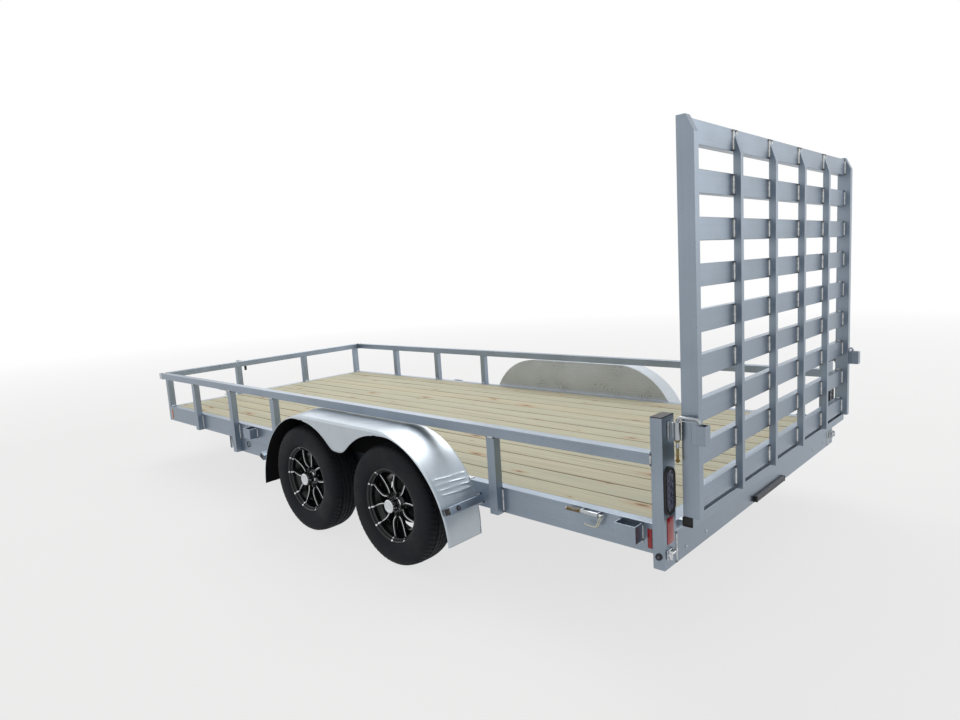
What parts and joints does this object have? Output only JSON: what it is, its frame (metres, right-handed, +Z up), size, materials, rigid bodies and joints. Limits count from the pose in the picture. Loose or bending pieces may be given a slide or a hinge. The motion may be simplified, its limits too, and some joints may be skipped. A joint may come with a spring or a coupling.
{
  "type": "utility trailer",
  "caption": "Tandem-axle flat utility trailer with a plank deck, side rails, teardrop fenders, a ramp gate that drops at the rear and a tongue jack.",
  "frame": {"origin": "middle of the bottom of the whole trailer's box, on the ground", "axes": "+X forwards to the coupler, +Y left, +Z up"},
  "size_m": [6.41, 2.598, 2.094],
  "materials": {
    "aluminium": "satin",
    "deck_wood": "matte",
    "tread_plate": "satin",
    "black_plastic": "matte",
    "zinc_steel": "satin",
    "galvanised_steel": "matte",
    "tyre_rubber": "matte",
    "black_rim": "gloss",
    "cast_hub": "satin",
    "red_lens": "gloss",
    "amber_lens": "gloss"
  },
  "bodies": {
    "frame": {"side_members": "aluminium", "front_member": "aluminium", "rear_sill": "aluminium", "cross_members": "aluminium", "rail_posts": "aluminium", "rail_left": "aluminium", "rail_right": "aluminium", "rail_front": "aluminium", "rear_posts": "aluminium", "under_beams": "aluminium", "tongue_beams": "aluminium", "fender_left": "aluminium", "fender_right": "aluminium", "fender_supports": "aluminium", "hinge_lugs": "aluminium", "stake_pockets": "aluminium", "deck_boards": "deck_wood", "fender_panels": "tread_plate", "post_caps": "black_plastic", "coupler": "zinc_steel", "chain_plates": "aluminium", "jack_body": "zinc_steel", "axle_beams": "galvanised_steel", "torsion_arms": "galvanised_steel", "gate_latches": "zinc_steel", "side_latches": "zinc_steel", "red_lamps": "red_lens", "amber_lamps": "amber_lens"},
    "gate": {"gate_sides": "aluminium", "gate_rungs": "aluminium", "gate_ribs": "aluminium", "gate_hinge_tube": "aluminium"},
    "jack_slider": {"jack_leg": "zinc_steel"},
    "wheel_rear_left": {"tyre_rear_left": "tyre_rubber", "rim_rear_left": "black_rim", "hub_rear_left": "cast_hub"},
    "wheel_front_left": {"tyre_front_left": "tyre_rubber", "rim_front_left": "black_rim", "hub_front_left": "cast_hub"},
    "wheel_rear_right": {"tyre_rear_right": "tyre_rubber", "rim_rear_right": "black_rim", "hub_rear_right": "cast_hub"},
    "wheel_front_right": {"tyre_front_right": "tyre_rubber", "rim_front_right": "black_rim", "hub_front_right": "cast_hub"}
  },
  "joints": [
    {"name": "spin_rear_left", "type": "hinge", "parent": "frame", "child": "wheel_rear_left", "pos_m": [-1.505, 1.189, 0.34], "axis": [0, 1, 0], "continuous": true},
    {"name": "spin_front_left", "type": "hinge", "parent": "frame", "child": "wheel_front_left", "pos_m": [-0.665, 1.189, 0.34], "axis": [0, 1, 0], "continuous": true},
    {"name": "spin_rear_right", "type": "hinge", "parent": "frame", "child": "wheel_rear_right", "pos_m": [-1.505, -1.189, 0.34], "axis": [0, 1, 0], "continuous": true},
    {"name": "spin_front_right", "type": "hinge", "parent": "frame", "child": "wheel_front_right", "pos_m": [-0.665, -1.189, 0.34], "axis": [0, 1, 0], "continuous": true},
    {"name": "gate_swing", "type": "hinge", "parent": "frame", "child": "gate", "pos_m": [-3.063, 0, 0.5], "axis": [0, -1, 0], "range_deg": [0, 105]},
    {"name": "jack_slide", "type": "slide", "parent": "frame", "child": "jack_slider", "axis": [0, 0, 1], "range_m": [0, 0.22]}
  ]
}
